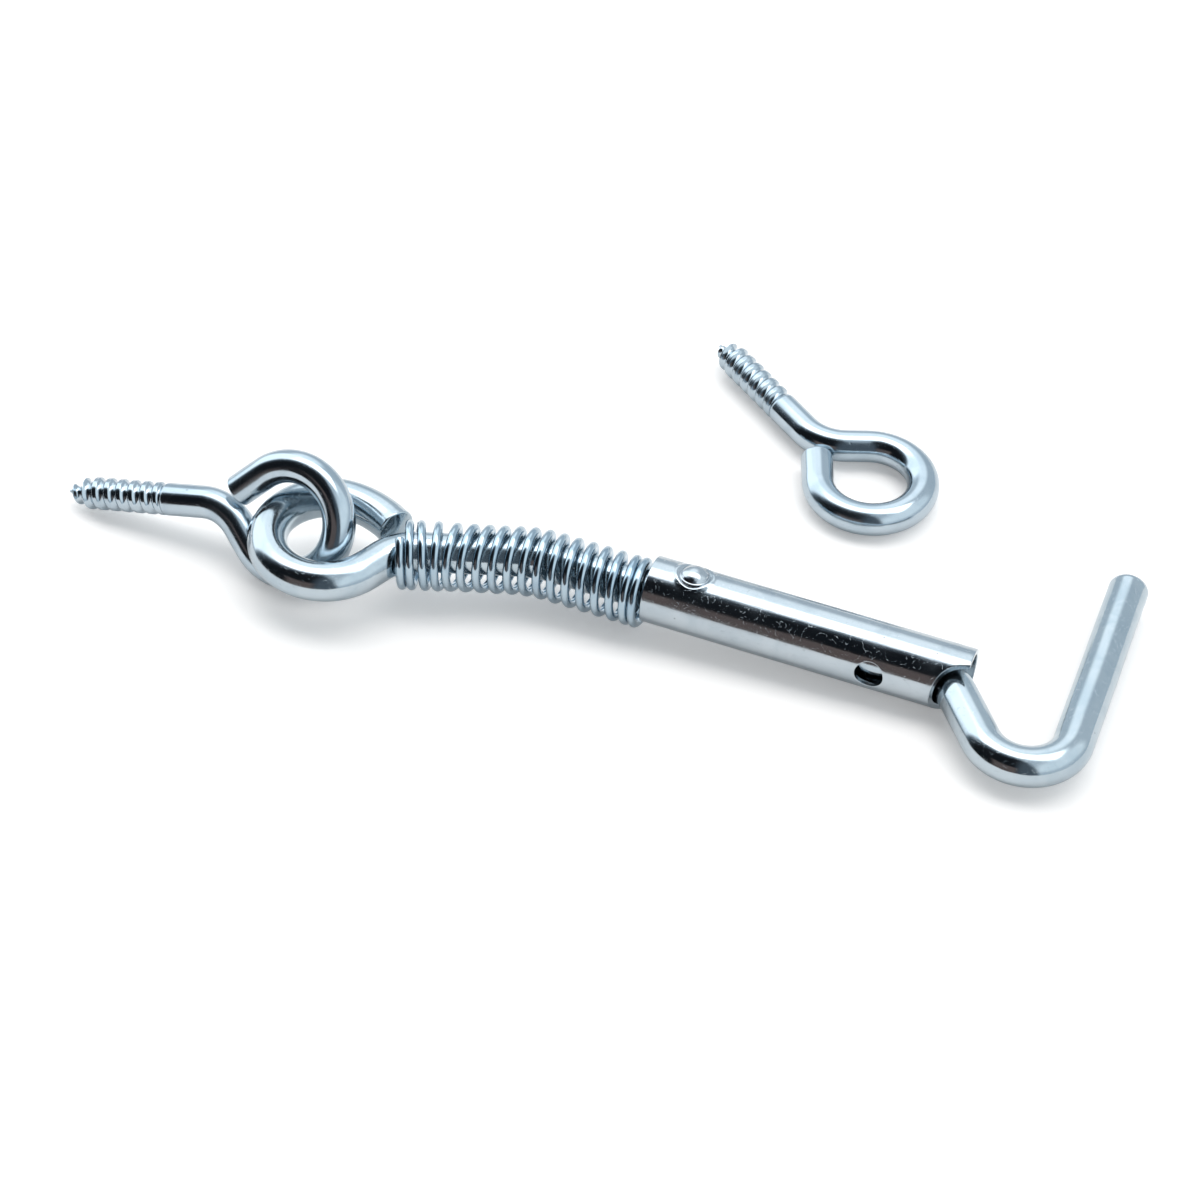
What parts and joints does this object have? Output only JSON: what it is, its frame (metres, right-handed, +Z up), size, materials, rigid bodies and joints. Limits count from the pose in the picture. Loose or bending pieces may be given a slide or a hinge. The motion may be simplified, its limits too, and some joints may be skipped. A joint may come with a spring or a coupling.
{
  "type": "spring-loaded gate hook",
  "caption": "Bent-wire gate hook with a sliding spring-loaded sleeve, linked to a wood-screw eye for the post, with a loose wood-screw eye that the hook drops into.",
  "frame": {"origin": "bottom centre of the box round all the pieces as they lie on a flat surface", "axes": "+X along the sleeve towards the hook, +Y the way the prong points and the side where the loose eye lies, +Z up from the surface"},
  "size_m": [0.1919, 0.0959, 0.0221],
  "materials": {
    "plated_rod": "bright zinc plate, polished",
    "plated_tube": "bright zinc plate, fine draw scratches",
    "plated_rivet": "bright zinc plate",
    "plated_spring": "bright zinc plate, blue cast",
    "plated_screw": "bright zinc plate"
  },
  "bodies": {
    "hook": {"hook_rod": "plated_rod", "pressure_spring": "plated_spring"},
    "sleeve": {"lock_sleeve": "plated_tube", "sleeve_rivet": "plated_rivet"},
    "post_eye": {"post_screw_eye": "plated_screw"},
    "catch_eye": {"catch_screw_eye": "plated_screw"}
  },
  "joints": [
    {"name": "sleeve_slide", "type": "slide", "parent": "hook", "child": "sleeve", "axis": [0.9992, 0, -0.0391], "range_m": [-0.012, 0], "stiffness_N_per_m": 800, "springref_m": 0.01, "deforming": ["pressure_spring"]},
    {"name": "post_eye_swing", "type": "hinge", "parent": "hook", "child": "post_eye", "pos_m": [-0.04314, -0.03376, 0.01012], "axis": [0.0391, 0, 0.9992], "range_deg": [-100, 100]},
    {"name": "catch_eye_lift", "type": "slide", "parent": "hook", "child": "catch_eye", "axis": [0, 0, 1], "range_m": [0, 0.06]}
  ]
}
